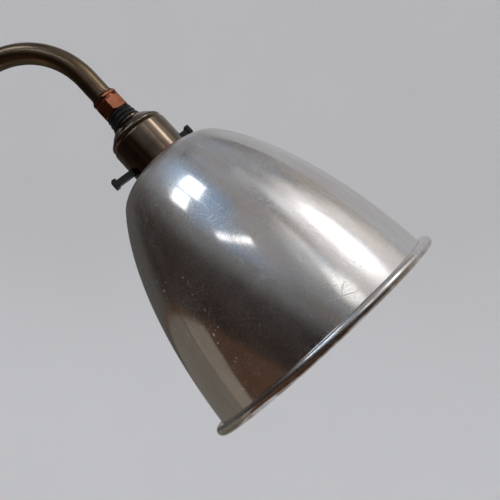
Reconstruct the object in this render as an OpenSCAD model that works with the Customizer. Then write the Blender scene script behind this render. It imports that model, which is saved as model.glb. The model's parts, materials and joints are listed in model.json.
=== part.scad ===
// Rise and fall pendant lamp: a telescopic stem, a swan neck arm that swings
// on it, a push bar lampholder and a spun metal bell shade.
// Millimetres, +Z up, origin at the middle of the ceiling face.

/* [Ceiling fitting] */
// Diameter of the ceiling plate
plate_d = 104; // [96:1:140]
// Thickness of the ceiling plate
plate_t = 4; // [3:0.5:8]
// Diameter of the circle of fixing screws
screw_circle_d = 88; // [84:1:90]
// Number of fixing screws
screw_count = 3; // [3:1:6]
// Diameter of each fixing hole
screw_hole_d = 5; // [3.5:0.1:6]
// Diameter of the supply cable's way in
cable_hole_d = 10; // [6:0.5:12]
// Diameter of the socket that holds the stem
socket_d = 29; // [26:0.5:31]
// Depth of that socket
socket_h = 12; // [8:0.5:18]
// Diameter of the canopy at the plate
canopy_d = 72; // [70:1:76]
// Depth of the canopy
canopy_h = 42; // [36:1:60]
// Thickness of the canopy's metal
canopy_t = 1.2; // [0.8:0.1:2]
// Diameter of the ring that holds the canopy up
canopy_ring_d = 29; // [26:0.5:34]
// Height of that ring
canopy_ring_h = 9; // [7:0.5:14]

/* [Stem] */
// Outside diameter of the fixed upper tube
outer_tube_d = 19; // [18.5:0.1:20]
// Wall of the fixed upper tube
outer_tube_wall = 1.5; // [1:0.1:2]
// Length of the fixed upper tube
outer_tube_len = 296; // [280:1:600]
// Outside diameter of the sliding lower tube
inner_tube_d = 12.7; // [12:0.1:13]
// Wall of the sliding lower tube
inner_tube_wall = 1.2; // [1:0.1:1.8]
// Length of the sliding tube that shows at rest
exposed_len = 130; // [60:1:200]
// How far the lamp falls below its rest place
fall_travel = 120; // [40:1:140]
// Height of the stop ring on top of the sliding tube
stop_ring_h = 10; // [8:0.5:20]

/* [Gland] */
// Diameter of the gland body
gland_d = 27; // [26:0.5:32]
// Depth to which the upper tube enters the gland
gland_socket = 14; // [8:0.5:24]
// Thickness of the gland's inner shoulder
gland_shoulder = 5; // [3:0.5:10]
// Diameter of the thread for the gland nut
gland_thread_d = 23; // [22.5:0.1:24]
// Height of the cork packing
cork_h = 9; // [6:0.5:14]
// Radial thickness of the cork packing
cork_t = 3.4; // [3:0.1:3.6]
// Thickness of the pressure washer under the cork
gland_washer_t = 2; // [1:0.1:3]
// Diameter of the gland nut
gland_nut_d = 30; // [28:0.5:36]
// Thickness of the gland nut's floor
gland_floor = 3; // [2:0.5:6]
// Number of flutes on the gland nut
gland_flutes = 30; // [12:1:36]

/* [Hub] */
// Diameter of the hub
hub_d = 32; // [31:0.5:38]
// Height of the hub
hub_h = 40; // [38:1:60]
// Thickness of the hub's roof, which turns on the stem
hub_roof = 12; // [10:0.5:14]
// Diameter of the hub's inner chamber
chamber_d = 22; // [21:0.5:24]
// Diameter of the boss that holds the arm
boss_d = 21; // [19:0.5:23]
// Distance from the stem's axis to the boss's mouth
boss_len = 38; // [35:0.5:50]
// Height of the collar above the hub
collar_h = 7; // [6.5:0.5:12]
// Diameter of the ball under the hub
finial_ball_d = 14; // [8:0.5:20]

/* [Swan neck arm] */
// Outside diameter of the arm tube
arm_tube_d = 13.6; // [12.5:0.1:14.5]
// Wall of the arm tube
arm_tube_wall = 1.2; // [0.8:0.1:1.6]
// Angle at which the arm rises from the hub
arm_rise = 30; // [20:1:40]
// Distance along the arm from the stem's axis to the bend
arm_reach = 90; // [70:1:200]
// Radius of the bend at the tube's middle line
bend_r = 56; // [40:1:120]
// Angle of the lamp's axis below level
head_tilt = 46.4; // [30:0.1:70]
// Straight end of the tube before the coupling
neck_straight = 14.6; // [10:0.1:60]

/* [Coupling] */
// Diameter of the bead at the tube's end
ferrule_d = 15; // [14.6:0.1:17]
// Thickness of that bead
ferrule_t = 2; // [1:0.1:4]
// Width across the flats of the coupling nut
coupling_flats = 16.4; // [14:0.1:20]
// Length of the coupling nut
coupling_len = 12.4; // [10:0.1:24]
// Width of the waist turned into the coupling nut
waist_w = 2.4; // [1:0.1:4]
// Distance from the top of the coupling nut to that waist
waist_drop = 1.7; // [1.2:0.1:4]
// Turn of the coupling nut about the lamp's axis
coupling_turn = 40; // [0:1:60]
// Diameter of the black washer on the coupling nut
coupling_washer_d = 16.8; // [15:0.1:18]
// Thickness of that washer
coupling_washer_t = 0.6; // [0.4:0.1:2]
// Diameter of the nipple that joins arm and lampholder
nipple_d = 8.4; // [7:0.1:9]
// Bore of the nipple
nipple_bore_d = 5.6; // [4:0.1:6]
// Diameter of the black bush at its foot
bush_d = 19.8; // [17:0.1:21]
// Height of the black bush
bush_h = 8.8; // [5:0.1:12]

/* [Lampholder] */
// Diameter of the lampholder's body
holder_d = 38; // [37:0.1:40]
// Wall of the lampholder's shells
holder_wall = 1.2; // [0.8:0.1:1.6]
// Length of the lampholder's body
body_len = 22.2; // [20:0.1:28]
// Height of the lampholder's cap
cap_h = 10.4; // [10:0.1:18]
// Diameter of the cap at its edge
cap_d = 36.4; // [35.4:0.1:37]
// Diameter of the copper flange under the body
flange_d = 42.6; // [40:0.1:46]
// Thickness of the copper flange
flange_t = 1.2; // [0.8:0.1:3]
// Outside diameter of the threaded skirt
skirt_d = 28; // [27.4:0.1:29]
// Inside diameter of the skirt, for the lamp cap
skirt_bore_d = 22.6; // [22.4:0.1:23]
// Length of the skirt below the flange
skirt_len = 17.5; // [15:0.1:22]
// Height of the porcelain insert
insert_h = 12.2; // [11.5:0.1:14]

/* [Switch] */
// Overall length of the push bar
bar_len = 59.6; // [58:0.1:70]
// Width of the push bar
bar_w = 4.2; // [3.6:0.1:4.8]
// Height of the push bar
bar_h = 3.6; // [3:0.1:4]
// Height of the push bar above the flange
bar_lift = 4.4; // [3:0.1:5]
// Travel of the push bar from off to on
bar_travel = 5.4; // [3:0.1:6]
// Turn of the push bar about the lamp's axis
bar_turn = 30; // [0:1:60]
// Thickness of each push bar head
bar_head_t = 2.4; // [2:0.1:5]
// Width of each push bar head
bar_head_w = 6; // [5.6:0.1:10]
// Height of each push bar head
bar_head_h = 5.8; // [5.5:0.1:9]

/* [Shade] */
// Diameter over the rolled rim
rim_d = 165; // [140:1:220]
// Diameter of the rolled bead
bead_d = 6; // [4:0.1:8]
// Height of the shade from rim to crown
shade_h = 141.6; // [130:0.1:200]
// Diameter of the flat crown
crown_d = 46; // [43:0.5:50]
// Fall from the flat crown to the shoulder of the bell
crown_drop = 3.2; // [1:0.1:6]
// Thickness of the shade's metal
shade_t = 1; // [0.8:0.1:1.5]
// Distance from the rim down to the middle of the bell's ellipse
bell_sweep = 28.4; // [0:0.1:60]
// Height above the crown at which the bell's ellipse would close
bell_over = 14.6; // [8:0.1:40]
// Diameter of the ring that clamps the shade
shade_ring_d = 40; // [36:0.5:42]
// Height of that ring
shade_ring_h = 5; // [4:0.1:8]

/* [Lamp] */
// Diameter of the lamp's cap
lamp_cap_d = 22; // [21.8:0.1:22.2]
// Length of the lamp's cap
lamp_cap_len = 25; // [22:0.5:30]
// Diameter of the glass bulb
bulb_d = 58; // [45:1:66]
// Length of the lamp from its contacts to the glass end
bulb_len = 103; // [90:1:112]
// Thickness of the glass
glass_t = 0.8; // [0.5:0.1:1.2]
// Turn that frees the lamp from its slots
bayonet_turn = 18; // [12:1:25]

/* [Fits] */
// Clearance of pieces that are fixed together
fit = 0.05; // [0.02:0.01:0.1]
// Clearance of a running or sliding fit
run = 0.06; // [0.02:0.01:0.1]
// Clearance between flat faces that move past each other
face_gap = 0.1; // [0.05:0.01:0.3]
// General clearance round moving pieces
slack = 0.3; // [0.2:0.05:0.5]

/* [Hidden] */
$fn = 96;
cut = 1;

brass = [0.50, 0.42, 0.29];
bronze = [0.27, 0.22, 0.17];
copper = [0.80, 0.46, 0.33];
black = [0.06, 0.06, 0.06];
bright = [0.76, 0.76, 0.75];
steel = [0.55, 0.55, 0.56];
porcelain = [0.92, 0.90, 0.85];
cork = [0.64, 0.47, 0.30];
fibre = [0.35, 0.20, 0.15];
pearl = [0.95, 0.95, 0.92];

// Grub screws
grub_r = 1.5;
grub_hole_r = grub_r + fit;
grub_sink = 0.4;

// Stem, from the ceiling down
outer_r = outer_tube_d / 2;
outer_bore_r = outer_r - outer_tube_wall;
inner_r = inner_tube_d / 2;
inner_bore_r = inner_r - inner_tube_wall;
plate_z = -plate_t;
canopy_z = plate_z - canopy_h;
outer_end_z = plate_z - outer_tube_len;
gland_top_z = outer_end_z + gland_socket;
packing_z = outer_end_z - gland_shoulder;
packing_r = inner_r + cork_t;
nut_collar_h = 4;
gland_end_z = packing_z - cork_h - gland_washer_t - nut_collar_h;
gland_thread_len = 12;
gland_nut_z = gland_end_z - slack - gland_floor;
stop_z = outer_end_z + fall_travel;
stop_top_z = stop_z + stop_ring_h;
hub_top_z = gland_nut_z - exposed_len;
hub_z = hub_top_z - hub_h / 2;
roof_z = hub_top_z - hub_roof;
hub_end_z = hub_top_z - hub_h;
swivel_washer_t = 1.5;
retaining_nut_h = 6;
retaining_nut_r = chamber_d / 2 - 1.4;
tube_past_nut = 1;
inner_end_z = roof_z - face_gap - swivel_washer_t - retaining_nut_h - tube_past_nut;

// Terminals under the canopy
terminal_y = socket_d / 2 + 7;
terminal_size = [18, 12, 12];
terminal_screw_r = 2;
terminal_screw_sink = 0.5;
earth_screw_r = 2;
earth_head_r = 3.5;
earth_head_h = 2;
cable_window = [6, 12];
cable_window_gap = 2;

// Swing stop on top of the hub
collar_r = 10.5;
stop_pin_r = 1.5;
stop_pin_inset = 3;
stop_pin_at = hub_d / 2 - stop_pin_inset;
stop_pin_deep = 4;
lug_lift = 2.5;
lug_past_pin = 2;
lug_reach = stop_pin_at + lug_past_pin;
lug_w = 1.6;

// Arm
arm_r = arm_tube_d / 2;
arm_bore_r = arm_r - arm_tube_wall;
arm_start = (chamber_d / 2 + 1 + arm_r * sin(arm_rise)) / cos(arm_rise) + 1;
boss_grub_inset = 6;
boss_grub_at = boss_len - boss_grub_inset;
locknut_t = 5;
lead_lap = 1;
lead_step = 0.02;
bend_x = arm_reach * cos(arm_rise) + bend_r * sin(arm_rise);
bend_z = hub_z + arm_reach * sin(arm_rise) - bend_r * cos(arm_rise);

// Head, measured up the lamp's axis from the rim
flange_z = shade_h;
body_z = flange_z + flange_t;
body_top_z = body_z + body_len;
cap_top_z = body_top_z + cap_h;
bush_top_z = cap_top_z + bush_h;
coupling_top_z = bush_top_z + coupling_len;
ferrule_z = coupling_top_z + coupling_washer_t;
tube_end_z = ferrule_z + ferrule_t;
head_run = neck_straight + tube_end_z;
rim_x = bend_x + bend_r * sin(head_tilt) + head_run * cos(head_tilt);
rim_z = bend_z + bend_r * cos(head_tilt) - head_run * sin(head_tilt);

// Lampholder
holder_r = holder_d / 2;
holder_bore_r = holder_r - holder_wall;
lip_w = 2.8;
lip_r = holder_r - lip_w;
lip_t = 2;
lip_roll_r = 1.5;
cap_spigot_h = 3;
cap_spigot_t = 2.4;
cap_roof = 3;
cap_hollow_h = 4.5;
nipple_r = nipple_d / 2;
nipple_drop = 5;
nipple_end_z = cap_top_z - cap_roof - nipple_drop;
nipple_grip = 8;
nipple_top_z = tube_end_z + nipple_grip;
nipple_locknut_h = 3;
bush_foot_r = bush_d / 2;
bush_taper = 1.4;
bush_rings = 3;
bush_ring_r = 0.8;

// The cap's dome is a ball through the cap's edge and the foot of its collar
cap_r = cap_d / 2;
cap_edge_r = 2.2;
cap_edge_z = 1.9;
cap_edge_lap = 0.1;
cap_collar_h = 0.8;
cap_collar_step = 0.4;
cap_collar_r = bush_foot_r + cap_collar_step;
cap_collar_z = cap_h - cap_collar_h;
dome_lift = pow(cap_collar_z, 2) + pow(cap_collar_r, 2) - pow(cap_edge_z, 2) - pow(cap_r, 2);
dome_z = dome_lift / (2 * (cap_collar_z - cap_edge_z));
dome_r = sqrt(pow(cap_r, 2) + pow(cap_edge_z - dome_z, 2));

// Switch bar across the lampholder's foot
bar_z = body_z + bar_lift;
bar_shift = -bar_travel / 2;
bar_head_floor = 0.8;
bar_head_drop = 0.7;
bridge_size = [10, 4, 1.2];
bridge_z = bar_z + bar_h;
tunnel_h = bar_z + bar_h + bridge_size[2] + slack - body_z;

// Contacts beside the bar
plunger_r = 2.4;
plunger_at = bar_w / 2 + slack + plunger_r + 0.6;
plunger_bore_r = plunger_r + run;
plunger_floor = 2;
plunger_len = 10;
plunger_tip_z = body_z - 3.6;
plunger_travel = 2.5;
spring_r = 1.6;
spring_bore_r = 1;
plunger_bore_top_z = plunger_tip_z + plunger_len + plunger_travel + slack;
post_r = 2.8;
post_h = 6;
post_z = body_z + insert_h;
post_screw_r = 1.2;

// Skirt and lamp
skirt_r = skirt_d / 2;
skirt_bore_r = skirt_bore_d / 2;
skirt_end_z = body_z - skirt_len;
lamp_r = lamp_cap_d / 2;
lamp_cap_wall = 0.6;
lamp_top_z = plunger_tip_z - face_gap;
contact_t = 0.8;
insulator_t = 1.6;
lamp_cap_z = lamp_top_z - lamp_cap_len;
pin_r = 1;
pin_drop = 6.5;
pin_z = lamp_top_z - pin_drop;
pin_reach = skirt_r - slack;
slot_r = pin_r + slack;
slot_end = asin(slot_r / skirt_bore_r) + 1;
bulb_r = bulb_d / 2;
bulb_mid_z = lamp_top_z - bulb_len + bulb_r;
glass_neck_r = lamp_r - lamp_cap_wall - fit;
glass_neck_h = 6;
glass_neck_z = lamp_cap_z + glass_neck_h;
glass_flare = 38;

// Shade: an ellipse of revolution between a low crown and a bead rolled tight round a wire
bead_r = bead_d / 2;
bead_x = rim_d / 2 - bead_r;
bead_overlap = 0.4;
crown_r = crown_d / 2;
crown_hole_r = skirt_r + slack;
bell_span = shade_h + bell_over + bell_sweep;
shoulder_z = shade_h - crown_drop;
wall_foot_r = rim_d / 2 - bead_d + bead_overlap;
foot_share = pow((bead_r + bell_sweep) / bell_span, 2);
bell_r2 = pow(wall_foot_r, 2) / (1 - foot_share);
bell_fall2 = bell_r2 / pow(bell_span, 2);
bell_steps = 16;
function bell_at(z) = sqrt(bell_r2 - bell_fall2 * pow(z + bell_sweep, 2));
function bell_slope(z) = -bell_fall2 * (z + bell_sweep) / bell_at(z);
function bell_inside(z) =
    let (slope = bell_slope(z), size = sqrt(1 + slope * slope))
    [bell_at(z) - shade_t / size, z + shade_t * slope / size];
// Steps get finer towards the shoulder, where the bell curves most
bell_z = [for (i = [0 : bell_steps]) bead_r + (shoulder_z - bead_r) * sin(90 * i / bell_steps)];

// Places on the object
module at_hub() {
    translate([0, 0, hub_z]) children();
}

module along_arm(distance) {
    at_hub() rotate([0, 90 - arm_rise, 0]) translate([0, 0, distance]) children();
}

module on_head(z) {
    translate([rim_x, 0, rim_z]) rotate([0, head_tilt - 90, 0]) translate([0, 0, z]) children();
}

// A round piece with a bore, standing on z = 0
module ring(r, bore, h) {
    difference() {
        cylinder(r = r, h = h);
        translate([0, 0, -cut]) cylinder(r = bore, h = h + 2 * cut);
    }
}

// A turned disc with one chamfer all round
module turned(r, h, chamfer) {
    rotate_extrude() polygon([
        [0, 0], [r - chamfer, 0], [r, chamfer], [r, h - chamfer], [r - chamfer, h], [0, h]
    ]);
}

// A hexagon nut with a bore, by its width across the flats
module hex_nut(flats, h, bore) {
    difference() {
        cylinder(r = flats / sqrt(3), h = h, $fn = 6);
        translate([0, 0, -cut]) cylinder(r = bore, h = h + 2 * cut);
    }
}

// A radial rod that points along +X from one radius to another
module radial(r, from, to) {
    translate([from, 0, 0]) rotate([0, 90, 0]) cylinder(r = r, h = to - from);
}

// The same shape at two places across the lamp's axis, in line with the contacts
module contact_pair(z) {
    on_head(z) rotate([0, 0, bar_turn]) for (side = [-1, 1])
        translate([0, side * plunger_at, 0]) children();
}

// Ceiling fitting
module ceiling_plate() {
    color(brass) difference() {
        union() {
            translate([0, 0, plate_z]) turned(plate_d / 2, plate_t, plate_t / 4);
            translate([0, 0, plate_z - socket_h]) cylinder(r = socket_d / 2, h = socket_h);
        }
        translate([0, 0, plate_z - socket_h - cut]) cylinder(r = outer_r + fit, h = socket_h + cut);
        for (i = [0 : screw_count - 1])
            rotate([0, 0, 360 * i / screw_count + 60])
                translate([screw_circle_d / 2, 0, plate_z - cut])
                    cylinder(d = screw_hole_d, h = plate_t + 2 * cut);
        translate([0, -terminal_y, plate_z - cut]) cylinder(d = cable_hole_d, h = plate_t + 2 * cut);
    }
}

// Quarter ellipse from the canopy's mouth to its neck
function canopy_curve(mouth, neck, depth) = [
    for (i = [0 : 16]) [neck + (mouth - neck) * cos(90 * i / 16), plate_z - depth * sin(90 * i / 16)]
];

module canopy() {
    neck = outer_r + slack;
    outside = canopy_curve(canopy_d / 2, neck, canopy_h);
    inside = canopy_curve(canopy_d / 2 - canopy_t, neck, canopy_h - canopy_t);
    color(brass) rotate_extrude() polygon(concat(outside, [for (i = [16 : -1 : 0]) inside[i]]));
}

module canopy_ring() {
    color(brass) difference() {
        translate([0, 0, canopy_z - canopy_ring_h]) turned(canopy_ring_d / 2, canopy_ring_h, 1.5);
        translate([0, 0, canopy_z - canopy_ring_h - cut])
            cylinder(r = outer_r + fit, h = canopy_ring_h + 2 * cut);
        translate([0, 0, canopy_z - canopy_ring_h / 2])
            radial(grub_hole_r, outer_r - cut, canopy_ring_d / 2 + cut);
    }
}

module canopy_grub_screw() {
    color(steel) translate([0, 0, canopy_z - canopy_ring_h / 2])
        radial(grub_r, outer_r + fit, canopy_ring_d / 2 - grub_sink);
}

module terminal_block() {
    color(porcelain) translate([0, terminal_y, plate_z - terminal_size[2] / 2]) difference() {
        cube(terminal_size, center = true);
        for (x = [-1, 1]) translate([x * terminal_size[0] / 4, 0, -terminal_size[2] / 2 - cut])
            cylinder(r = terminal_screw_r + fit, h = terminal_size[2] / 2 + cut);
    }
}

module terminal_screws() {
    color(brass) for (x = [-1, 1])
        translate([x * terminal_size[0] / 4, terminal_y, plate_z - terminal_size[2] + terminal_screw_sink])
            cylinder(r = terminal_screw_r, h = terminal_size[2] / 2 - terminal_screw_sink);
}

module earth_screw() {
    color(brass) translate([terminal_y, 0, plate_z - 2 * earth_head_h]) {
        cylinder(r = earth_screw_r, h = 2 * earth_head_h);
        cylinder(r = earth_head_r, h = earth_head_h);
    }
}

// Stem
module outer_tube() {
    color(brass) difference() {
        translate([0, 0, outer_end_z]) ring(outer_r, outer_bore_r, outer_tube_len);
        translate([-cable_window[0] / 2, 0, plate_z - socket_h - cable_window_gap - cable_window[1]])
            cube([cable_window[0], outer_r + cut, cable_window[1]]);
    }
}

module gland_body() {
    thread_z = gland_end_z + gland_thread_len;
    color(brass) difference() {
        union() {
            translate([0, 0, thread_z]) turned(gland_d / 2, gland_top_z - thread_z, 1.5);
            translate([0, 0, gland_end_z]) cylinder(d = gland_thread_d, h = gland_thread_len + cut);
        }
        translate([0, 0, outer_end_z]) cylinder(r = outer_r + fit, h = gland_socket + cut);
        translate([0, 0, gland_end_z - cut])
            cylinder(r = packing_r + fit, h = packing_z - gland_end_z + cut);
        translate([0, 0, packing_z - cut]) cylinder(r = inner_r + run, h = gland_shoulder + 2 * cut);
    }
}

module cork_packing() {
    color(cork) translate([0, 0, packing_z - cork_h]) ring(packing_r, inner_r + run, cork_h);
}

module gland_washer() {
    color(brass) translate([0, 0, packing_z - cork_h - gland_washer_t])
        ring(packing_r, inner_r + slack, gland_washer_t);
}

module gland_nut() {
    nut_h = gland_thread_len + slack + gland_floor - 1;
    collar_z = gland_floor - cut;
    chamfer = 1.2;
    flute_r = 0.9;
    flute_out = 0.2;
    flute_z = 2 * chamfer;
    color(brass) translate([0, 0, gland_nut_z]) difference() {
        union() {
            difference() {
                turned(gland_nut_d / 2, nut_h, chamfer);
                translate([0, 0, gland_floor]) cylinder(r = gland_thread_d / 2 + run, h = nut_h);
                for (i = [0 : gland_flutes - 1]) rotate([0, 0, 360 * i / gland_flutes])
                    translate([gland_nut_d / 2 + flute_out, 0, flute_z])
                        cylinder(r = flute_r, h = nut_h - 2 * flute_z, $fn = 24);
            }
            translate([0, 0, collar_z])
                cylinder(r = packing_r - slack, h = cut + slack + nut_collar_h - face_gap);
        }
        translate([0, 0, -cut]) cylinder(r = inner_r + slack, h = nut_h + nut_collar_h);
    }
}

module inner_tube() {
    color(brass) difference() {
        translate([0, 0, inner_end_z]) ring(inner_r, inner_bore_r, stop_top_z - inner_end_z);
        translate([0, 0, stop_z + stop_ring_h / 2]) radial(grub_hole_r, 0, outer_r);
    }
}

module stop_ring() {
    color(brass) translate([0, 0, stop_z]) difference() {
        turned(outer_bore_r - slack, stop_ring_h, 0.4);
        translate([0, 0, -cut]) cylinder(r = inner_r + fit, h = stop_ring_h + 2 * cut);
        translate([0, 0, stop_ring_h / 2]) radial(grub_hole_r, 0, outer_r);
    }
}

module stop_screw() {
    color(steel) translate([0, 0, stop_z + stop_ring_h / 2])
        radial(grub_r, inner_bore_r, outer_bore_r - slack - grub_sink);
}

// Swivel
module swivel_collar() {
    color(brass) translate([0, 0, hub_top_z + face_gap]) difference() {
        union() {
            turned(collar_r, collar_h, 1);
            translate([-lug_w / 2, 0, lug_lift]) cube([lug_w, lug_reach, collar_h - lug_lift - 1]);
        }
        translate([0, 0, -cut]) cylinder(r = inner_r + fit, h = collar_h + 2 * cut);
        translate([0, 0, collar_h / 2]) rotate([0, 0, 180]) radial(grub_hole_r, 0, collar_r + cut);
    }
}

module collar_grub_screw() {
    color(steel) translate([0, 0, hub_top_z + face_gap + collar_h / 2])
        rotate([0, 0, 180]) radial(grub_r, inner_r + fit, collar_r - grub_sink);
}

module swivel_washer() {
    color(fibre) translate([0, 0, roof_z - face_gap - swivel_washer_t])
        ring(retaining_nut_r, inner_r + fit, swivel_washer_t);
}

module retaining_nut() {
    color(brass) translate([0, 0, roof_z - face_gap - swivel_washer_t - retaining_nut_h]) difference() {
        turned(retaining_nut_r, retaining_nut_h, 0.8);
        translate([0, 0, -cut]) cylinder(r = inner_r + fit, h = retaining_nut_h + 2 * cut);
    }
}

module hub() {
    color(brass) difference() {
        union() {
            translate([0, 0, hub_end_z]) turned(hub_d / 2, hub_h, 3);
            along_arm(0) cylinder(d = boss_d, h = boss_len);
        }
        translate([0, 0, hub_end_z - cut]) cylinder(d = chamber_d, h = hub_h - hub_roof + cut);
        translate([0, 0, roof_z - cut]) cylinder(r = inner_r + run, h = hub_roof + 2 * cut);
        along_arm(arm_start) cylinder(r = arm_r + fit, h = boss_len);
        along_arm(0) cylinder(r = arm_bore_r, h = boss_len);
        translate([0, -stop_pin_at, hub_top_z - stop_pin_deep]) cylinder(r = stop_pin_r + fit, h = hub_h);
        along_arm(boss_grub_at) radial(grub_hole_r, 0, boss_d);
    }
}

module swing_stop_pin() {
    color(steel) translate([0, -stop_pin_at, hub_top_z - stop_pin_deep])
        cylinder(r = stop_pin_r, h = stop_pin_deep + collar_h - slack);
}

module finial() {
    flange_h = 4;
    neck_h = 3;
    plug_h = 8;
    plug_wall = 2.5;
    ball_r = finial_ball_d / 2;
    color(brass) translate([0, 0, hub_end_z]) {
        difference() {
            union() {
                translate([0, 0, -flange_h]) turned(hub_d / 2 - 2, flange_h, 1);
                translate([0, 0, -cut]) cylinder(r = chamber_d / 2 - fit, h = cut + plug_h);
            }
            cylinder(r = chamber_d / 2 - plug_wall, h = plug_h + cut);
        }
        translate([0, 0, -flange_h - neck_h]) cylinder(r = ball_r * 0.6, h = neck_h + cut);
        translate([0, 0, -flange_h - neck_h - ball_r * 0.75]) sphere(r = ball_r);
    }
}

// Swan neck
module arm_locknut() {
    color(brass) along_arm(boss_len) rotate([0, 0, 30]) hex_nut(boss_d - 1, locknut_t, arm_r + fit);
}

module arm_grub_screw() {
    color(steel) along_arm(boss_grub_at) radial(grub_r, arm_r + fit, boss_d / 2 - grub_sink);
}

// The arm's middle line as a round bar: straight end, bend and lead, which is a hair slimmer than the bend
module swan_path(r, past) {
    lead = arm_reach - arm_start;
    translate([bend_x, 0, bend_z]) rotate([90, 0, 0]) rotate([0, 0, 90 - head_tilt]) {
        translate([bend_r, 0, 0]) rotate([90, 0, 0]) cylinder(r = r, h = neck_straight + past);
        rotate_extrude(angle = arm_rise + head_tilt) translate([bend_r, 0]) circle(r = r);
        rotate([0, 0, arm_rise + head_tilt]) translate([bend_r, -lead_lap, 0]) rotate([-90, 0, 0])
            cylinder(r = r - lead_step, h = lead_lap + lead + past);
    }
}

module arm_tube() {
    color(brass) difference() {
        swan_path(arm_r, 0);
        swan_path(arm_bore_r, cut);
    }
}

// Coupling
module tube_ferrule() {
    plug_h = 9;
    color(brass) on_head(ferrule_z) difference() {
        union() {
            turned(ferrule_d / 2, ferrule_t, 0.6);
            cylinder(r = arm_bore_r - fit, h = ferrule_t + plug_h);
        }
        translate([0, 0, -cut]) cylinder(r = nipple_r + fit, h = ferrule_t + plug_h + 2 * cut);
    }
}

module coupling_washer() {
    color(black) on_head(coupling_top_z) ring(coupling_washer_d / 2, nipple_r + fit, coupling_washer_t);
}

module coupling_nut() {
    corner_r = coupling_flats / sqrt(3);
    chamfer = 1.2;
    waist_z = coupling_len - waist_drop - waist_w;
    waist_deep = 0.5;
    color(copper) on_head(bush_top_z) difference() {
        intersection() {
            rotate([0, 0, coupling_turn]) cylinder(r = corner_r, h = coupling_len, $fn = 6);
            translate([0, 0, -fit]) turned(corner_r + fit, coupling_len + 2 * fit, chamfer);
        }
        translate([0, 0, waist_z]) ring(coupling_flats, coupling_flats / 2 - waist_deep, waist_w);
        translate([0, 0, -cut]) cylinder(r = nipple_r + fit, h = coupling_len + 2 * cut);
    }
}

module nipple() {
    color(brass) on_head(nipple_end_z) ring(nipple_r, nipple_bore_d / 2, nipple_top_z - nipple_end_z);
}

module nipple_locknut() {
    color(brass) on_head(cap_top_z - cap_roof - nipple_locknut_h)
        hex_nut(nipple_d + 5, nipple_locknut_h, nipple_r + fit);
}

module neck_bush() {
    ring_step = bush_h / bush_rings;
    core_r = bush_foot_r - bush_ring_r;
    color(black) on_head(cap_top_z) difference() {
        union() {
            cylinder(r1 = core_r, r2 = core_r - bush_taper, h = bush_h);
            for (i = [0 : bush_rings - 1])
                translate([0, 0, (i + 0.5) * ring_step]) rotate_extrude()
                    translate([core_r - bush_taper * (i + 0.5) / bush_rings, 0])
                        circle(r = bush_ring_r, $fn = 32);
        }
        translate([0, 0, -cut]) cylinder(r = nipple_r + fit, h = bush_h + 2 * cut);
    }
}

// Lampholder
// Half section of the cap: a dome with a rolled edge and a low collar
module cap_outline() {
    intersection() {
        translate([0, dome_z]) circle(r = dome_r);
        translate([0, cap_edge_z]) square([holder_r, cap_h - cap_collar_h / 2 - cap_edge_z]);
    }
    intersection() {
        translate([cap_r + cap_edge_lap - cap_edge_r, cap_edge_z]) circle(r = cap_edge_r, $fn = 48);
        square([holder_r, cap_h]);
    }
    square([cap_r - cap_edge_r, 2 * cap_edge_z]);
    square([cap_collar_r, cap_h]);
}

module holder_cap() {
    color(bronze) on_head(body_top_z) difference() {
        union() {
            rotate_extrude() cap_outline();
            translate([0, 0, -cap_spigot_h]) cylinder(r = lip_r - fit, h = cap_spigot_h + cut);
        }
        translate([0, 0, -cap_spigot_h - cut])
            cylinder(r = lip_r - cap_spigot_t, h = cap_spigot_h + cap_hollow_h + cut);
        translate([0, 0, cap_hollow_h - cut])
            cylinder(r = bush_foot_r, h = cap_h - cap_roof - cap_hollow_h + cut);
        cylinder(r = nipple_r + fit, h = cap_h + cut);
    }
}

// Half section of the body: a straight wall with an inward lip and a rounded shoulder
module body_outline() {
    translate([holder_bore_r, 0]) square([holder_wall, body_len - lip_roll_r]);
    translate([lip_r, body_len - lip_t]) square([holder_r - lip_roll_r - lip_r, lip_t]);
    intersection() {
        translate([holder_r - lip_roll_r, body_len - lip_roll_r]) circle(r = lip_roll_r, $fn = 48);
        translate([lip_r, body_len - lip_t]) square([holder_r, lip_t]);
    }
}

module holder_body() {
    color(bronze) on_head(body_z) difference() {
        rotate_extrude() body_outline();
        rotate([0, 0, bar_turn]) translate([-holder_d, -bar_w / 2 - slack, bar_lift - slack])
            cube([2 * holder_d, bar_w + 2 * slack, bar_h + 2 * slack]);
    }
}

module flange_ring() {
    color(copper) on_head(flange_z) difference() {
        turned(flange_d / 2, flange_t, 0.4);
        translate([0, 0, -cut]) cylinder(r = skirt_r + fit, h = flange_t + 2 * cut);
    }
}

module porcelain_insert() {
    color(porcelain) difference() {
        on_head(body_z) difference() {
            cylinder(r = holder_bore_r - 2 * fit, h = insert_h);
            rotate([0, 0, bar_turn]) translate([-holder_d, -bar_w / 2 - slack, -cut])
                cube([2 * holder_d, bar_w + 2 * slack, tunnel_h + cut]);
        }
        contact_pair(body_z - cut) cylinder(r = plunger_bore_r, h = plunger_bore_top_z - body_z + cut);
    }
}

module terminal_posts() {
    color(brass) contact_pair(post_z) difference() {
        cylinder(r = post_r, h = post_h);
        translate([0, 0, post_h / 2 - 1]) rotate([90, 0, 0]) cylinder(r = 1, h = 4 * post_r, center = true);
        translate([0, 0, post_h / 2]) cylinder(r = post_screw_r + fit, h = post_h);
    }
}

module post_screws() {
    color(steel) contact_pair(post_z + post_h / 2) cylinder(r = post_screw_r, h = post_h / 2 + 0.8);
}

module plungers() {
    color(brass) contact_pair(plunger_tip_z) difference() {
        union() {
            translate([0, 0, 0.6]) cylinder(r = plunger_r, h = plunger_len - 0.6);
            cylinder(r1 = plunger_r - 0.6, r2 = plunger_r, h = 0.6);
        }
        translate([0, 0, plunger_floor]) cylinder(r = spring_r + 0.2, h = plunger_len);
    }
}

module plunger_springs() {
    color(steel) contact_pair(plunger_tip_z + plunger_floor)
        ring(spring_r, spring_bore_r, plunger_bore_top_z - plunger_tip_z - plunger_floor);
}

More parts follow.
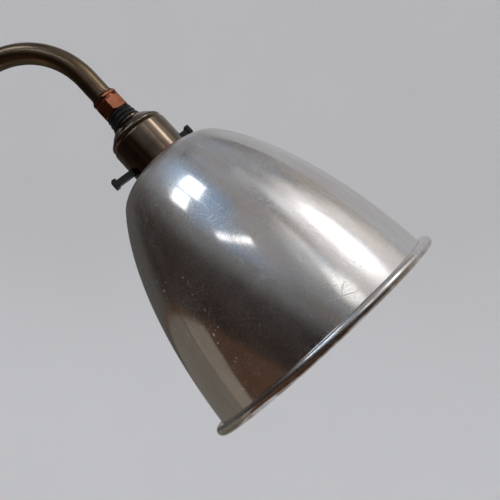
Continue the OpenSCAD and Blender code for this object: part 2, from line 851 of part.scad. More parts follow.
module push_bar() {
    reach = bar_len / 2 - bar_head_floor;
    color(black) on_head(bar_z) rotate([0, 0, bar_turn]) translate([bar_shift - reach, -bar_w / 2, 0])
        cube([2 * reach, bar_w, bar_h]);
}

// Heads pressed on both ends of the bar
module push_bar_heads() {
    head_x = bar_head_w / 2;
    nick = 0.6;
    color(black) on_head(bar_z) rotate([0, 0, bar_turn]) translate([bar_shift, 0, 0])
        for (side = [0, 180]) rotate([0, 0, side]) translate([bar_len / 2 - bar_head_t, 0, 0]) difference() {
            translate([0, 0, -bar_head_drop]) rotate([90, 0, 90]) linear_extrude(bar_head_t) polygon([
                [nick - head_x, 0], [head_x - nick, 0], [head_x, nick],
                [head_x, bar_head_h - nick], [head_x - nick, bar_head_h],
                [nick - head_x, bar_head_h], [-head_x, bar_head_h - nick], [-head_x, nick]
            ]);
            translate([-cut, -bar_w / 2 - fit, -fit])
                cube([cut + bar_head_t - bar_head_floor, bar_w + 2 * fit, bar_h + 2 * fit]);
        }
}

module switch_bridge() {
    color(copper) on_head(bridge_z) rotate([0, 0, bar_turn]) translate([bar_shift, 0, bridge_size[2] / 2])
        cube(bridge_size, center = true);
}

// Skirt with two hooked slots for the lamp's pins
module bayonet_skirt() {
    color(brass) on_head(skirt_end_z) difference() {
        ring(skirt_r, skirt_bore_r, skirt_len);
        for (side = [0, 180]) rotate([0, 0, bar_turn - bayonet_turn + side]) {
            translate([skirt_bore_r - cut, -slot_r, -cut])
                cube([skirt_r, 2 * slot_r, pin_z - skirt_end_z + cut]);
            rotate([0, 0, -slot_end]) translate([0, 0, pin_z - skirt_end_z - slot_r])
                rotate_extrude(angle = bayonet_turn + 2 * slot_end)
                    translate([skirt_bore_r - cut, 0]) square([skirt_r, 2 * slot_r]);
        }
    }
}

// Shade
module shade() {
    wall = concat(
        [for (z = bell_z) [bell_at(z), z]],
        [[crown_r, shade_h], [crown_hole_r, shade_h]],
        [[crown_hole_r, shade_h - shade_t], [crown_r, shade_h - shade_t]],
        [for (i = [bell_steps : -1 : 0]) bell_inside(bell_z[i])]
    );
    color(bright) on_head(0) rotate_extrude() {
        polygon(wall);
        translate([bead_x, bead_r]) circle(r = bead_r, $fn = 64);
    }
}

module shade_ring() {
    notches = 12;
    notch_r = 1.6;
    notch_deep = 1;
    notch_at = shade_ring_d / 2 + notch_r - notch_deep;
    color(black) on_head(shade_h - shade_t - shade_ring_h) difference() {
        turned(shade_ring_d / 2, shade_ring_h, 0.8);
        translate([0, 0, -cut]) cylinder(r = skirt_r + fit, h = shade_ring_h + 2 * cut);
        for (i = [0 : notches - 1]) rotate([0, 0, 360 * i / notches])
            translate([notch_at, 0, -cut]) cylinder(r = notch_r, h = shade_ring_h, $fn = 24);
    }
}

// Lamp
// Half section of the glass: a ball with a flared neck, open at the top
function glass_curve(ball, neck) = concat(
    [for (a = [-90 : 7.5 : glass_flare]) [ball * cos(a), bulb_mid_z + ball * sin(a)]],
    [[neck, lamp_cap_z - slack], [neck, glass_neck_z]]
);

module bulb_glass() {
    outside = glass_curve(bulb_r, glass_neck_r);
    inside = glass_curve(bulb_r - glass_t, glass_neck_r - glass_t);
    count = len(inside);
    color(pearl) on_head(0) rotate_extrude()
        polygon(concat([[0, bulb_mid_z - bulb_r]], [for (i = [1 : count - 1]) outside[i]],
            [for (i = [count - 1 : -1 : 1]) inside[i]], [[0, bulb_mid_z - bulb_r + glass_t]]));
}

module bulb_cap() {
    h = lamp_top_z - contact_t - insulator_t - lamp_cap_z;
    color(brass) on_head(lamp_cap_z) difference() {
        ring(lamp_r, lamp_r - lamp_cap_wall, h);
        rotate([0, 0, bar_turn]) for (side = [0, 180]) rotate([0, 0, side])
            translate([0, 0, pin_z - lamp_cap_z]) radial(pin_r + fit, 0, lamp_r + cut);
    }
}

module bulb_insulator() {
    color(black) on_head(lamp_top_z - contact_t - insulator_t) cylinder(r = lamp_r, h = insulator_t);
}

module bulb_pins() {
    color(brass) on_head(pin_z) rotate([0, 0, bar_turn]) for (side = [0, 180]) rotate([0, 0, side])
        radial(pin_r, lamp_r - 2 * lamp_cap_wall, pin_reach);
}

module bulb_contacts() {
    color(steel) contact_pair(lamp_top_z - contact_t) cylinder(r = plunger_r + 0.4, h = contact_t);
}

ceiling_plate();
canopy();
canopy_ring();
canopy_grub_screw();
terminal_block();
terminal_screws();
earth_screw();
outer_tube();
gland_body();
cork_packing();
gland_washer();
gland_nut();
inner_tube();
stop_ring();
stop_screw();
swivel_collar();
collar_grub_screw();
swivel_washer();
retaining_nut();
hub();
swing_stop_pin();
finial();
arm_locknut();
arm_grub_screw();
arm_tube();
tube_ferrule();
coupling_washer();
coupling_nut();
nipple();
nipple_locknut();
neck_bush();
holder_cap();
holder_body();
flange_ring();
porcelain_insert();
terminal_posts();
post_screws();
plungers();
plunger_springs();
push_bar();
push_bar_heads();
switch_bridge();
bayonet_skirt();
shade();
shade_ring();
bulb_glass();
bulb_cap();
bulb_insulator();
bulb_pins();
bulb_contacts();
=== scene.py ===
import json
import math

import bpy
from mathutils import Matrix, Vector


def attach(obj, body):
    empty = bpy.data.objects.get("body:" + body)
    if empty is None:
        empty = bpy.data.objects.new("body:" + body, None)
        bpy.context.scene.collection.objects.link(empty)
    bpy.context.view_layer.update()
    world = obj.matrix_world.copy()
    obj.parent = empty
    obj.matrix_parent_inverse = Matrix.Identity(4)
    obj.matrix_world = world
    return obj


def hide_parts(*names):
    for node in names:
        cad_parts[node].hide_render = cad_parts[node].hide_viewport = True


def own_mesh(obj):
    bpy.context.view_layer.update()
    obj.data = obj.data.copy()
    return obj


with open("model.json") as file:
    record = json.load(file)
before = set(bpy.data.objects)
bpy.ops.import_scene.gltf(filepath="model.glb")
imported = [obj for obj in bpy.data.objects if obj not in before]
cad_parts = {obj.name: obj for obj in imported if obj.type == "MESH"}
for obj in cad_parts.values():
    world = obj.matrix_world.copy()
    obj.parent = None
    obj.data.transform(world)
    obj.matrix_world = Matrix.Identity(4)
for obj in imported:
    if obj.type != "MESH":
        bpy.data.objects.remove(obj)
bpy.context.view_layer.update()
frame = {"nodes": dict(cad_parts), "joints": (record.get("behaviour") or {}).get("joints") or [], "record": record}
nodes = frame["nodes"]
joints = {joint["name"]: joint for joint in frame["joints"]}

MM = 0.001

# The lamp's own axes: z runs from the middle of the rim up to the lampholder
RIM = Vector(joints["bulb_twist"]["pos_m"])
UP = -Vector(joints["bulb_twist"]["axis"]).normalized()
SIDE = Vector((0, 1, 0))
HEAD = Matrix.Translation(RIM) @ Matrix((SIDE.cross(UP), SIDE, UP)).transposed().to_4x4()
SHADE_MIDDLE_R = 70 * MM


def add_mesh(name, points, faces, materials, smooth=True):
    """A new object in the scene, from points in metres, faces and materials."""
    mesh = bpy.data.meshes.new(name)
    mesh.from_pydata(points, [], faces)
    if smooth:
        mesh.polygons.foreach_set("use_smooth", [True] * len(mesh.polygons))
    for material in materials:
        mesh.materials.append(material)
    made = bpy.data.objects.new(name, mesh)
    bpy.context.scene.collection.objects.link(made)
    return made


# Node helpers
class Graph:
    """Short names for the nodes of one tree."""

    def __init__(self, tree):
        self.tree = tree

    def node(self, kind):
        return self.tree.nodes.new(kind)

    def feed(self, socket, value):
        if isinstance(value, bpy.types.NodeSocket):
            self.tree.links.new(value, socket)
        else:
            socket.default_value = value

    def place(self):
        return self.node("ShaderNodeTexCoord").outputs["Object"]

    def mapped(self, vector, scale=(1, 1, 1), shift=(0, 0, 0)):
        n = self.node("ShaderNodeMapping")
        self.feed(n.inputs["Vector"], vector)
        n.inputs["Scale"].default_value = scale
        n.inputs["Location"].default_value = shift
        return n.outputs["Vector"]

    def noise(self, vector, scale, detail=3.0, roughness=0.55, distortion=0.0):
        n = self.node("ShaderNodeTexNoise")
        self.feed(n.inputs["Vector"], vector)
        n.inputs["Scale"].default_value = scale
        n.inputs["Detail"].default_value = detail
        n.inputs["Roughness"].default_value = roughness
        n.inputs["Distortion"].default_value = distortion
        return n.outputs["Fac"]

    def math(self, operation, a, b=0.0):
        n = self.node("ShaderNodeMath")
        n.operation = operation
        self.feed(n.inputs[0], a)
        self.feed(n.inputs[1], b)
        return n.outputs[0]

    def span(self, value, low, high, to_low=0.0, to_high=1.0, smooth=False):
        n = self.node("ShaderNodeMapRange")
        if smooth:
            n.interpolation_type = "SMOOTHSTEP"
        self.feed(n.inputs["Value"], value)
        ends = {"From Min": low, "From Max": high, "To Min": to_low, "To Max": to_high}
        for name, number in ends.items():
            n.inputs[name].default_value = number
        return n.outputs["Result"]

    def mix(self, share, a, b, blend="MIX"):
        n = self.node("ShaderNodeMix")
        n.data_type = "RGBA"
        n.blend_type = blend
        self.feed(n.inputs[0], share)
        self.feed(n.inputs[6], a)
        self.feed(n.inputs[7], b)
        return n.outputs[2]

    def bearing(self, vector):
        """Azimuth and elevation in degrees. Azimuth 0 is the camera's side, and + is to its right."""
        split = self.node("ShaderNodeSeparateXYZ")
        self.feed(split.inputs[0], vector)
        x, y, z = split.outputs
        squares = self.math("ADD", self.math("MULTIPLY", x, x), self.math("MULTIPLY", y, y))
        level = self.math("SQRT", squares)
        azimuth = self.math("ARCTAN2", x, self.math("MULTIPLY", y, -1.0))
        elevation = self.math("ARCTAN2", z, level)
        return tuple(self.math("MULTIPLY", angle, 180 / math.pi) for angle in (azimuth, elevation))

    def between(self, value, low, high, soft):
        """1 between low and high, with soft edges."""
        rise = self.span(value, low - soft, low + soft, smooth=True)
        fall = self.span(value, high + soft, high - soft, smooth=True)
        return self.math("MULTIPLY", rise, fall)


class Look(Graph):
    """One procedural material with a metal or dielectric surface."""

    def __init__(self, name):
        self.material = bpy.data.materials.new(name)
        self.material.use_nodes = True
        super().__init__(self.material.node_tree)
        self.shader = self.tree.nodes["Principled BSDF"]

    def set(self, **values):
        for name, value in values.items():
            self.feed(self.shader.inputs[name.replace("_", " ")], value)

    def bump(self, height, strength, distance):
        n = self.node("ShaderNodeBump")
        self.feed(n.inputs["Height"], height)
        n.inputs["Strength"].default_value = strength
        n.inputs["Distance"].default_value = distance
        self.feed(self.shader.inputs["Normal"], n.outputs["Normal"])

    def on_head(self):
        """The place measured in the lamp's own axes."""
        n = self.node("ShaderNodeMapping")
        n.vector_type = "TEXTURE"
        self.feed(n.inputs["Vector"], self.place())
        n.inputs["Location"].default_value = HEAD.translation
        n.inputs["Rotation"].default_value = HEAD.to_euler()
        return n.outputs["Vector"]

    def round_the_axis(self):
        """(arc length round the axis, height, 0) on the shade, with its seam on the far side."""
        split = self.node("ShaderNodeSeparateXYZ")
        self.feed(split.inputs[0], self.on_head())
        angle = self.math("ARCTAN2", split.outputs[0], self.math("MULTIPLY", split.outputs[1], -1.0))
        join = self.node("ShaderNodeCombineXYZ")
        self.feed(join.inputs[0], self.math("MULTIPLY", angle, SHADE_MIDDLE_R))
        self.feed(join.inputs[1], split.outputs[2])
        return join.outputs[0], split.outputs[2]


def colour(r, g, b):
    return (r, g, b, 1.0)


# Materials, with heights on the shade from its rim
RIM_BROWN_FADE = (3.4 * MM, 1.6 * MM)
CROWN_DULLING = (112 * MM, 132 * MM)


def scratches(look, flat, cell, across, along, low, high, shift):
    """Sparse short lines whose direction changes from cell to cell."""
    cells = look.node("ShaderNodeTexVoronoi")
    look.feed(cells.inputs["Vector"], look.mapped(flat, shift=(shift, 2 * shift, 0)))
    cells.inputs["Scale"].default_value = cell
    split = look.node("ShaderNodeSeparateColor")
    look.feed(split.inputs[0], cells.outputs["Color"])
    turned = look.node("ShaderNodeVectorRotate")
    turned.rotation_type = "Z_AXIS"
    look.feed(turned.inputs["Vector"], flat)
    look.feed(turned.inputs["Angle"], look.math("MULTIPLY", split.outputs[0], 2 * math.pi))
    lines = look.noise(look.mapped(turned.outputs[0], (along, across, 1)), 1.0, 1.0, 0.5, 0.25)
    return look.span(lines, low, high)


def spun_aluminium(name, dull):
    """Polished metal with fine scratches, dust, faint spinning rings, a duller crown and a rim bead that turns
    darker and browner towards its lower edge.
    """
    look = Look(name)
    flat, height = look.round_the_axis()
    place = look.place()
    rings = look.noise(look.mapped(flat, (2.5, 1500, 1)), 1.0, 3.0, 0.6)
    wash = look.span(look.noise(place, 22, 5, 0.62, 0.4), 0.34, 0.68)
    swirl = look.span(look.noise(place, 75, 4, 0.6, 1.2), 0.40, 0.66)
    streaks = look.span(look.noise(look.mapped(flat, (85, 11, 1)), 1.0, 4, 0.6, 0.5), 0.42, 0.66)
    patchy = look.span(look.noise(place, 34, 3), 0.40, 0.66)
    specks = look.span(look.noise(place, 620, 2, 0.6), 0.665, 0.71)
    dust = look.math("MULTIPLY", specks, look.span(look.noise(place, 26, 3, 0.6), 0.44, 0.60))
    fine = scratches(look, flat, 95, 1500, 70, 0.63, 0.70, 0.0)
    long = scratches(look, flat, 42, 1100, 24, 0.66, 0.72, 0.7)
    lines = look.math("MULTIPLY", look.math("MAXIMUM", fine, long), look.span(patchy, 0, 1, 0.25, 1.0))
    # A fine grain of dull points gives the polished metal its halo round bright reflections
    grain = look.noise(place, 5200, 1, 0.5)
    worn = look.math("ADD", look.math("MULTIPLY", wash, 0.6), look.math("MULTIPLY", swirl, 0.4))
    dull_points = look.span(look.math("SUBTRACT", grain, look.span(worn, 0, 1, 0.63, 0.52)), -0.015, 0.015)
    rim_brown_patches = look.span(look.noise(place, 110, 4), 0.36, 0.56)
    # Darker and browner towards the lower edge of the rim bead, in patches
    rim_brown = look.math("MULTIPLY", look.span(height, *RIM_BROWN_FADE), rim_brown_patches)
    metal = look.mix(wash, colour(0.745, 0.745, 0.745), colour(0.655, 0.65, 0.645))
    metal = look.mix(look.math("MULTIPLY", streaks, 0.75), metal, colour(0.64, 0.575, 0.52))
    metal = look.mix(look.math("MULTIPLY", dust, 0.8), metal, colour(0.62, 0.60, 0.57))
    metal = look.mix(look.math("MULTIPLY", lines, 0.35), metal, colour(0.90, 0.895, 0.88))
    metal = look.mix(look.math("MULTIPLY", rim_brown, 0.85), metal, colour(0.30, 0.215, 0.15))
    rough = look.span(wash, 0, 1, 0.06 + dull, 0.10 + dull)
    rough = look.math("ADD", rough, look.span(rings, 0.3, 0.7, -0.01, 0.02))
    rough = look.math("ADD", rough, look.span(height, *CROWN_DULLING, 0.0, 0.24))
    rough = look.math("ADD", rough, look.math("MULTIPLY", dull_points, 0.30))
    rough = look.math("ADD", rough, look.math("MULTIPLY", lines, 0.26))
    look.set(Base_Color=metal, Metallic=look.span(dust, 0, 1, 1.0, 0.2))
    look.set(Roughness=look.math("MINIMUM", rough, 0.6))
    dents = look.noise(place, 28, 2, 0.5)
    relief = look.math("SUBTRACT", look.math("MULTIPLY", rings, 0.05), look.math("MULTIPLY", lines, 0.12))
    look.bump(look.math("ADD", relief, look.math("MULTIPLY", dents, 1.6)), 0.12, 0.6 * MM)
    return look.material


def worn_metal(name, bright, dark, rough_low, rough_high, scale, bump=0.02, turned=0.0):
    """Metal whose colour and gloss vary with wear, with turned lines across the lamp's axis where asked."""
    look = Look(name)
    place = look.place()
    patches = look.span(look.noise(place, scale, 5, 0.6, 0.4), 0.36, 0.66)
    specks = look.span(look.noise(place, scale * 12, 2, 0.5), 0.64, 0.72)
    grain = look.noise(place, scale * 24, 2)
    base = look.mix(patches, colour(*bright), colour(*dark))
    base = look.mix(look.math("MULTIPLY", specks, 0.35), base, colour(*[c * 0.55 for c in dark]))
    rough = look.span(patches, 0, 1, rough_low, rough_high)
    rough = look.math("ADD", rough, look.math("MULTIPLY", specks, 0.1))
    look.set(Base_Color=base, Metallic=1.0, Roughness=rough)
    relief = look.math("ADD", look.math("MULTIPLY", grain, 1 - turned), look.math("MULTIPLY", specks, -0.5))
    if turned:
        rings = look.noise(look.mapped(look.on_head(), (0, 0, 2600)), 1.0, 2)
        relief = look.math("ADD", relief, look.math("MULTIPLY", rings, turned))
    look.bump(relief, bump, 0.3 * MM)
    return look.material


def moulded(name, base, worn, rough, scale, bump, **constants):
    """A dielectric surface with faint mottling and scuffs."""
    look = Look(name)
    place = look.place()
    mottle = look.span(look.noise(place, scale, 4, 0.6), 0.4, 0.7)
    scuff = look.span(look.noise(place, scale * 6, 3, 0.65), 0.58, 0.72)
    tint = look.mix(look.math("MULTIPLY", mottle, 0.6), colour(*base), colour(*worn))
    gloss = look.math("ADD", look.span(mottle, 0, 1, rough, rough + 0.1), look.math("MULTIPLY", scuff, 0.12))
    look.set(Base_Color=tint, Roughness=gloss, **constants)
    look.bump(look.noise(place, scale * 14, 3), bump, 0.3 * MM)
    return look.material


# Bright and dark colour, least and most roughness, scale of the patches, then bump and turned lines
METALS = {
    "aged_brass": ((0.215, 0.155, 0.098), (0.100, 0.069, 0.044), 0.19, 0.29, 50),
    "plain_brass": ((0.66, 0.50, 0.26), (0.48, 0.35, 0.18), 0.22, 0.34, 60),
    "dark_bronze": ((0.205, 0.158, 0.118), (0.110, 0.083, 0.062), 0.06, 0.11, 60, 0.02, 0.3),
    "copper": ((0.34, 0.125, 0.070), (0.16, 0.057, 0.033), 0.28, 0.40, 120, 0.03, 0.3),
    "steel": ((0.52, 0.52, 0.53), (0.36, 0.36, 0.36), 0.28, 0.40, 120),
}
# Base and worn colour, roughness, scale of the mottling, bump
DIELECTRICS = {
    "black_plastic": ((0.008, 0.0078, 0.008), (0.018, 0.017, 0.0165), 0.34, 150, 0.04),
    "porcelain": ((0.80, 0.78, 0.72), (0.70, 0.67, 0.60), 0.14, 90, 0.02),
    "cork": ((0.46, 0.29, 0.16), (0.24, 0.13, 0.07), 0.75, 420, 0.4),
    "fibre": ((0.24, 0.085, 0.06), (0.16, 0.06, 0.045), 0.6, 300, 0.2),
    "pearl_glass": ((0.86, 0.86, 0.84), (0.80, 0.80, 0.78), 0.20, 40, 0.01),
}
# Shader values that differ from the shader's own
CONSTANTS = {
    "black_plastic": {"Specular_IOR_Level": 0.3},
    "pearl_glass": {"Transmission_Weight": 0.25},
}
LOOKS = {name: worn_metal(name, *values) for name, values in METALS.items()}
for name, values in DIELECTRICS.items():
    LOOKS[name] = moulded(name, *values, **CONSTANTS.get(name, {}))
LOOKS["worn_aluminium"] = spun_aluminium("worn_aluminium", dull=0.0)
INSIDE = spun_aluminium("worn_aluminium_inside", dull=0.16)

for part in frame["record"]["subparts"]:
    mesh = nodes[part["node"]].data
    mesh.materials.clear()
    mesh.materials.append(LOOKS[part["material_slot"]])


# Shade: the CAD bell as a fine lathe, with its rolled bead and a rounded shoulder
def bell_profile():
    """(radius, height) round the section in millimetres, and how many of these points lie outside."""
    rim_r, bead_r, crown_r, crown_hole_r = 82.49, 3.0, 23.0, 14.3
    high, drop, wall = 141.6, 3.2, 1.0
    # The bell is part of an ellipse, whose middle lies below the rim and whose top is over the crown
    sweep, over = 28.4, 14.6
    bead_lap, foot_z, bell_steps = 0.4, 4.2, 84
    shoulder_drop, shoulder_reach, shoulder_wall, shoulder_steps = 5.0, 8.0, 1.3, 12
    crown_edge, crown_dip = 1.5, 0.12
    roll_end, roll_steps = math.radians(190), 40

    foot_r = rim_r - 2 * bead_r + bead_lap
    span = high + over + sweep
    square = foot_r ** 2 / (1 - ((bead_r + sweep) / span) ** 2)
    fall = square / span ** 2

    def at(z):
        return math.sqrt(square - fall * (z + sweep) ** 2)

    def inner(z):
        slope = -fall * (z + sweep) / at(z)
        size = math.hypot(1, slope)
        return at(z) - wall / size, z + wall * slope / size

    shoulder_z = high - drop
    corner = (at(shoulder_z), shoulder_z)
    top = shoulder_z - shoulder_drop
    slant = drop / (corner[0] - crown_r)
    start = (corner[0] - shoulder_reach, shoulder_z + shoulder_reach * slant)
    shoulder = []
    for i in range(shoulder_steps + 1):
        t = i / shoulder_steps
        shoulder.append(tuple((1 - t) ** 2 * a + 2 * t * (1 - t) * b + t * t * c
                              for a, b, c in zip(start, corner, (at(top), top))))
    bead_x = rim_r - bead_r
    meet = math.acos(-(bead_x - at(foot_z)) / bead_r)
    roll = [meet - (meet + roll_end) * i / roll_steps for i in range(1, roll_steps + 1)]
    rises = [math.sin(math.pi / 2 * i / bell_steps) for i in range(bell_steps + 1)]
    heights = [foot_z + (top - foot_z) * rise for rise in rises[:-1]]

    outside = [(crown_hole_r, high), (crown_r - crown_edge, high), (crown_r, high - crown_dip)]
    outside += shoulder + [(at(z), z) for z in reversed(heights)]
    outside += [(bead_x + bead_r * math.cos(a), bead_r + bead_r * math.sin(a)) for a in roll]
    inside = [inner(bead_r + (top - bead_r) * rise) for rise in rises]
    inside += [(start[0], start[1] - shoulder_wall), (crown_r, high - wall), (crown_hole_r, high - wall)]
    return outside + inside, len(outside)


def lathe(name, profile, around, materials):
    """A profile in millimetres turned round the lamp's axis."""
    sharp_edge = math.radians(35)
    count = len(profile)
    points = []
    for i in range(around):
        a = 2 * math.pi * i / around
        points += [HEAD @ (MM * Vector((r * math.cos(a), r * math.sin(a), z))) for r, z in profile]
    faces = []
    for i in range(around):
        here, there = i * count, (i + 1) % around * count
        for k in range(count):
            m = (k + 1) % count
            faces.append((here + k, here + m, there + m, there + k))
    made = add_mesh(name, points, faces, materials)
    made.data.set_sharp_from_angle(angle=sharp_edge)
    return made


SHADE_FACETS = 288
profile, outer_count = bell_profile()
shade = lathe("spun_shade", profile, SHADE_FACETS, (LOOKS["worn_aluminium"], INSIDE))
for face in shade.data.polygons:
    face.material_index = 0 if face.index % len(profile) < outer_count else 1
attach(shade, "arm")
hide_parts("shade")


# Contact springs: the CAD sleeves as coils
def coil(middle, low, high, radius, wire, turns):
    """Points and faces of one coil along the lamp's axis, in metres in the lamp's own axes."""
    sides, steps = 8, 24 * turns
    points, faces = [], []
    for i in range(steps + 1):
        a = 2 * math.pi * turns * i / steps
        z = low + wire + (high - low - 2 * wire) * i / steps
        for k in range(sides):
            b = 2 * math.pi * k / sides
            r = radius + wire * math.cos(b)
            points.append((middle[0] + r * math.cos(a), middle[1] + r * math.sin(a), z + wire * math.sin(b)))
    for i in range(steps):
        for k in range(sides):
            m = (k + 1) % sides
            faces.append((i * sides + k, i * sides + m, (i + 1) * sides + m, (i + 1) * sides + k))
    faces += [tuple(reversed(range(sides))), tuple(range(steps * sides, (steps + 1) * sides))]
    return points, faces


def contact_springs():
    coil_r, wire_r, turns = 1.35 * MM, 0.24 * MM, 8
    sleeves = nodes["plunger_springs"]
    into_head = HEAD.inverted() @ sleeves.matrix_world
    corners = [into_head @ v.co for v in sleeves.data.vertices]
    low, high = min(c.z for c in corners), max(c.z for c in corners)
    points, faces = [], []
    for side in (-1, 1):
        own = [c for c in corners if side * c.y > 0]
        middle = [(min(c[k] for c in own) + max(c[k] for c in own)) / 2 for k in (0, 1)]
        own_points, own_faces = coil(middle, low, high, coil_r, wire_r, turns)
        faces += [tuple(len(points) + i for i in face) for face in own_faces]
        points += [HEAD @ Vector(p) for p in own_points]
    made = add_mesh("contact_springs", points, faces, [LOOKS["steel"]])
    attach(made, "arm")
    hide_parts("plunger_springs")
    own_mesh(made)


contact_springs()


# Stage: a pale floor that sweeps up into a backdrop
def pale_paper():
    """Paper that glows a little where the camera, gloss or glass shows it."""
    look = Look("pale_paper")
    tone = look.noise(look.place(), 1.5, 2)
    paper = look.mix(tone, colour(0.64, 0.635, 0.64), colour(0.68, 0.675, 0.68))
    path = look.node("ShaderNodeLightPath")
    seen = path.outputs["Is Camera Ray"]
    for kind in ("Is Glossy Ray", "Is Transmission Ray"):
        seen = look.math("MAXIMUM", seen, path.outputs[kind])
    look.set(Base_Color=paper, Roughness=0.9, Emission_Color=paper)
    look.set(Emission_Strength=look.math("MULTIPLY", seen, 0.28))
    return look.material


def sweep_stage():
    floor_z, wall_y, wall_top = -1.55, 2.6, 3.2
    near_y, half_width = -6.0, 6.0
    bend, steps = 1.0, 24
    line = [(near_y, floor_z), (wall_y - bend, floor_z)]
    for i in range(1, steps + 1):
        a = math.pi / 2 * i / steps
        line.append((wall_y - bend + bend * math.sin(a), floor_z + bend - bend * math.cos(a)))
    line.append((wall_y, wall_top))
    points = [(x, y, z) for x in (-half_width, half_width) for y, z in line]
    n = len(line)
    faces = [(k, n + k, n + k + 1, k + 1) for k in range(n - 1)]
    return add_mesh("backdrop", points, faces, [pale_paper()])


sweep_stage()

# Light: one studio world of soft panels, placed by their bearing
world = bpy.data.worlds.new("studio")
bpy.context.scene.world = world
world.use_nodes = True
sky = Graph(world.node_tree)
direction = sky.node("ShaderNodeTexCoord").outputs["Generated"]
azimuth, elevation = sky.bearing(direction)
# The elevation and the azimuth at which a sheared panel keeps its place
LEAN_FROM = 40.0
RISE_FROM = -22.0


def panel(light, box, soft, level, lean, rise):
    """Add a panel to the light. Lean shears its upright sides, and rise the level ones."""
    left, right, low, high = box
    leaned = sky.math("MULTIPLY", sky.math("SUBTRACT", elevation, LEAN_FROM), lean)
    risen = sky.math("MULTIPLY", sky.math("SUBTRACT", azimuth, RISE_FROM), rise)
    beside = sky.between(sky.math("SUBTRACT", azimuth, leaned), left, right, soft[0])
    upright = sky.between(sky.math("SUBTRACT", elevation, risen), low, high, soft[1])
    share = sky.math("MULTIPLY", beside, upright)
    return sky.mix(share, light, sky.mix(1.0, light, colour(*level), "ADD"))


# Mottled grey walls above a pale horizon
tint = sky.span(sky.noise(direction, 3.4, 4, 0.6, 0.5), 0.38, 0.62)
light = sky.mix(tint, colour(0.235, 0.205, 0.185), colour(0.165, 0.185, 0.215))
light = sky.mix(sky.span(elevation, 6, 24, smooth=True), colour(0.42, 0.418, 0.42), light)
# Left, right, low and high edge in degrees, softness across and up, added colour, lean and rise
PANELS = (
    # Overhead
    ((-200, 200, 62, 120), (1, 14), (0.14, 0.14, 0.145), 0, 0),
    # Blue light round the panes
    ((-80, -22, 33, 60), (14, 9), (0.08, 0.18, 0.33), 0, 0),
    ((-46, -4, 20, 36), (12, 8), (0.03, 0.09, 0.17), 0, 0),
    # First pair of panes
    ((-61, -43.5, 41.2, 55), (0.6, 0.6), (2.6, 2.7, 2.8), 0.32, 0),
    ((-61, -48.5, 29, 39.6), (0.6, 0.6), (2.6, 2.7, 2.8), 0.32, 0),
    # Second pair of panes
    ((-33, -24.6, 30.9, 34.3), (0.7, 0.6), (2.2, 2.2, 2.2), 0, 0.47),
    ((-23.6, -11.5, 30.9, 34.3), (0.7, 0.6), (2.2, 2.2, 2.2), 0, 0.47),
    # Broad streak
    ((36, 122, 36, 72), (16, 11), (0.60, 0.60, 0.61), 0, 0),
    ((62, 90, 48, 67), (11, 6), (1.7, 1.7, 1.72), 0, 0),
    ((70, 86, 52, 64), (5, 4), (2.6, 2.6, 2.6), 0, 0),
    # Thin streak
    ((27, 44, 34, 44), (4, 3), (1.3, 1.28, 1.25), 0, 0),
    ((30, 40, 44, 60), (5, 8), (0.35, 0.35, 0.35), -0.83, 0),
    # Right side
    ((108, 165, 22, 60), (14, 10), (0.20, 0.195, 0.185), 0, 0),
    # Upper end of the streaks
    ((36, 108, 66, 76), (14, 6), (0.36, 0.36, 0.36), 0, 0),
    ((-20, 60, 75, 95), (20, 5), (0.11, 0.11, 0.115), 0, 0),
    # Haze between the second panes and the thin streak
    ((11, 30, 39, 55), (7, 6), (0.30, 0.295, 0.29), 0, 0),
    ((-16, 30, 30, 56), (10, 8), (0.10, 0.10, 0.105), 0, 0),
    # Dark corner behind
    ((-200, -120, 50, 75), (15, 8), (-0.08, -0.08, -0.08), 0, 0),
)
for values in PANELS:
    light = panel(light, *values)
sky.feed(world.node_tree.nodes["Background"].inputs["Color"], light)
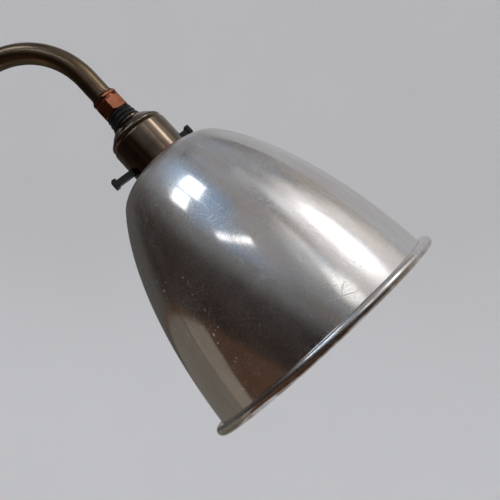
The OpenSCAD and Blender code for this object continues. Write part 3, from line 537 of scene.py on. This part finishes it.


# Reflector: a dark patch of a ball round the front that glows with a painted reflection of a room, seen only in
# reflections
def reflector_glow():
    """Painted reflection of a room: dark in the middle, brown below, greyer above, with a pale board on the left,
    and faded at the edges.
    """
    look = Look("reflector")
    place = look.place()
    around, up = look.bearing(place)
    mottle = look.span(look.noise(place, 3.5, 4), 0.35, 0.65)
    side = look.span(around, -96, -116, smooth=True)
    dark = look.mix(mottle, colour(0.044, 0.034, 0.030), colour(0.027, 0.020, 0.018))
    dark = look.mix(side, dark, colour(0.085, 0.082, 0.078))
    brown = look.mix(mottle, colour(0.100, 0.056, 0.037), colour(0.075, 0.042, 0.028))
    # Painted reflection of a pale board on the left, with a thin darker gap and painted shade beyond it
    board_reflection = look.span(around, -71.8, -70.2, 1.0, 0.0)
    board_reflection = look.math("MULTIPLY", board_reflection, look.span(up, -24.8, -23.2, 1.0, 0.0))
    gap = look.between(around, -95, -92, 0.7)
    shaded = look.span(around, -92, -98)
    board_reflection_tone = look.mix(shaded, colour(0.23, 0.195, 0.160), colour(0.16, 0.145, 0.125))
    tone = look.mix(look.span(up, -19, -25, smooth=True), dark, brown)
    tone = look.mix(look.math("MULTIPLY", board_reflection, look.span(gap, 0, 1, 1.0, 0.45)), tone, board_reflection_tone)
    above = look.mix(look.span(around, -50, -85), colour(0.165, 0.162, 0.160), colour(0.095, 0.086, 0.082))
    tone = look.mix(look.span(up, 5, 20, smooth=True), tone, above)
    glow = look.node("ShaderNodeEmission")
    look.feed(glow.inputs["Color"], tone)
    clear = look.node("ShaderNodeBsdfTransparent")
    left_fade = look.span(around, -177, -150, smooth=True)
    right_fade = look.span(around, 104, 80, smooth=True)
    fade = look.math("MULTIPLY", left_fade, right_fade)
    fade = look.math("MULTIPLY", look.span(up, 27, 20, smooth=True), fade)
    mixed = look.node("ShaderNodeMixShader")
    look.feed(mixed.inputs[0], fade)
    look.feed(mixed.inputs[1], clear.outputs[0])
    look.feed(mixed.inputs[2], glow.outputs[0])
    look.feed(look.tree.nodes["Material Output"].inputs["Surface"], mixed.outputs[0])
    return look.material


def reflector():
    middle, radius = Vector((0.260, -0.055, -0.530)), 0.95
    low, high, left, right = -70, 28, -178, 105
    rows, columns = 24, 72
    points = []
    for i in range(rows + 1):
        e = math.radians(low + (high - low) * i / rows)
        level = radius * math.cos(e)
        for k in range(columns + 1):
            a = math.radians(left + (right - left) * k / columns)
            points.append((level * math.sin(a), -level * math.cos(a), radius * math.sin(e)))
    wide = columns + 1
    faces = [(i * wide + k, i * wide + k + 1, (i + 1) * wide + k + 1, (i + 1) * wide + k)
             for i in range(rows) for k in range(columns)]
    made = add_mesh("reflector", points, faces, [reflector_glow()], smooth=False)
    made.location = middle
    made.visible_camera = False
    made.visible_diffuse = False
    made.visible_shadow = False
    return made


reflector()

# Camera at the photograph's place
CAMERA_PLACE = (0.32672, -0.40486, -0.52439)
CAMERA_VIEW = Vector((-0.18952, 0.98095, -0.04273))
camera_data = bpy.data.cameras.new("camera")
camera_data.lens = 50.23
camera_data.sensor_width = 36.0
camera_data.clip_start = 0.01
camera = bpy.data.objects.new("camera", camera_data)
bpy.context.scene.collection.objects.link(camera)
camera.location = CAMERA_PLACE
camera.rotation_mode = "QUATERNION"
camera.rotation_quaternion = CAMERA_VIEW.to_track_quat("-Z", "Y")
bpy.context.scene.camera = camera

bpy.context.scene.view_settings.view_transform = "Standard"
